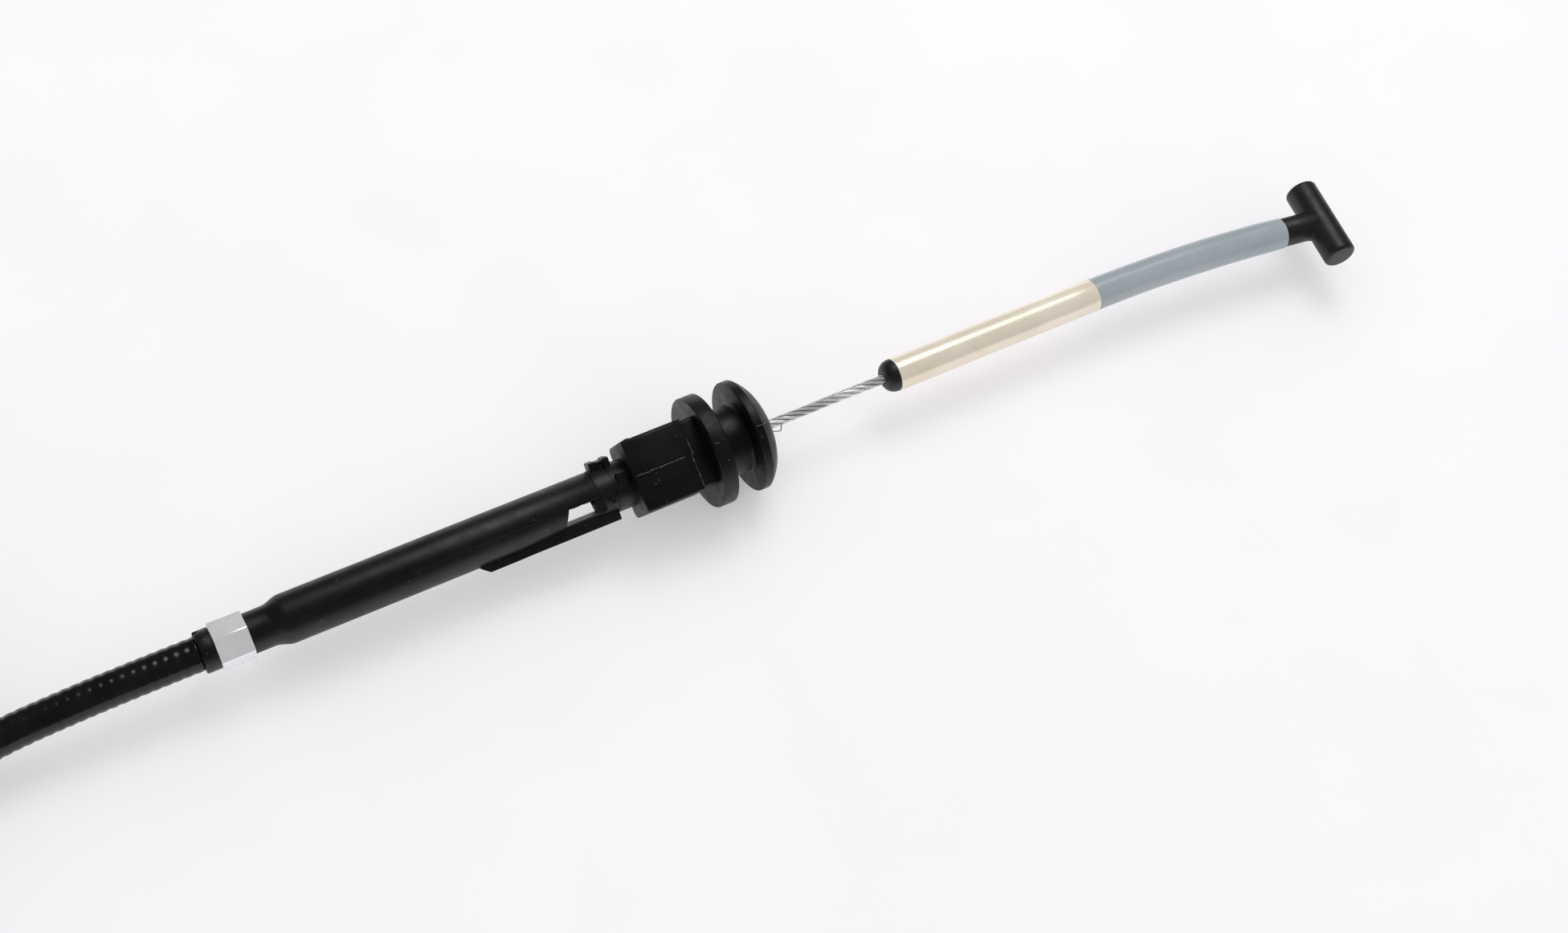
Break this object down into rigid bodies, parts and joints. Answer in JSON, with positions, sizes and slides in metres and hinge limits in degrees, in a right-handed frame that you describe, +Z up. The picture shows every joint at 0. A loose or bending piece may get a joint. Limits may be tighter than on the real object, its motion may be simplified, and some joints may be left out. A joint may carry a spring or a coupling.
{
  "type": "bowden control cable with t-end pull rod",
  "caption": "Sheathed pull control cable: T-ended sliding rod, guide tube, snap-in bulkhead grommet, ribbed conduit and threaded adjuster at the far end.",
  "frame": {"origin": "centre of the grommet's panel groove, on the cable axis", "axes": "+X along the pull rod towards the T end, +Z up with the cable lying on a table, +Y to the left seen from the far end"},
  "size_m": [0.6386, 0.0991, 0.0286],
  "materials": {
    "black_plastic": "satin moulded",
    "grommet_rubber": "satin",
    "natural_plastic": "satin",
    "seal_rubber": "matt",
    "crimp_alloy": "bright, crimped",
    "conduit_jacket": "ribbed by the armour beneath",
    "armour_steel": "flat wire",
    "rope_steel": "galvanised strands",
    "brass": "plain",
    "sleeve_metal": "satin, pale champagne plating",
    "sleeve_plastic": "smooth blue-grey",
    "plated_steel": "zinc plated",
    "tie_plastic": "strap"
  },
  "bodies": {
    "housing": {"guide_tube": "black_plastic", "latch_sleeve": "black_plastic", "bulkhead_grommet": "grommet_rubber", "mouth_bush": "natural_plastic", "wiper_seal": "seal_rubber", "inner_seat": "natural_plastic", "crimp_ring": "crimp_alloy", "jacket_end": "conduit_jacket", "armour_end": "armour_steel", "liner_end": "natural_plastic", "guide_rope": "rope_steel", "conduit_lead": "conduit_jacket", "conduit_coil": "conduit_jacket", "conduit_tail": "conduit_jacket", "coil_ties": "tie_plastic", "far_ferrule": "plated_steel", "far_jacket_end": "conduit_jacket", "adjuster_tube": "plated_steel", "lock_washers": "plated_steel", "dust_cap": "seal_rubber"},
    "pull_rod": {"core_rope": "rope_steel", "nose_plug": "black_plastic", "swage_stop": "brass", "metal_sleeve": "sleeve_metal", "coupling_bush": "black_plastic", "plastic_sleeve": "sleeve_plastic", "tip_rope": "rope_steel", "t_core": "plated_steel", "t_end": "black_plastic"},
    "far_end": {"far_rope": "rope_steel", "end_nipple": "plated_steel"},
    "inner_nut": {"inner_lock_nut": "plated_steel"},
    "outer_nut": {"outer_lock_nut": "plated_steel"}
  },
  "joints": [
    {"name": "rod_slide", "type": "slide", "parent": "housing", "child": "pull_rod", "axis": [1, 0, 0], "range_m": [-0.06, 0], "deforming": ["guide_rope"]},
    {"name": "nipple_slide", "type": "slide", "parent": "housing", "child": "far_end", "axis": [-1, 0, 0], "range_m": [0, 0.06]},
    {"name": "inner_nut_spin", "type": "hinge", "parent": "housing", "child": "inner_nut", "pos_m": [-0.377, -0.009, -0.0064], "axis": [1, 0, 0], "continuous": true},
    {"name": "outer_nut_spin", "type": "hinge", "parent": "housing", "child": "outer_nut", "pos_m": [-0.3852, -0.009, -0.0064], "axis": [1, 0, 0], "continuous": true}
  ],
  "couplings": [
    {"joint": "nipple_slide", "follows": "rod_slide", "ratio": -1}
  ]
}
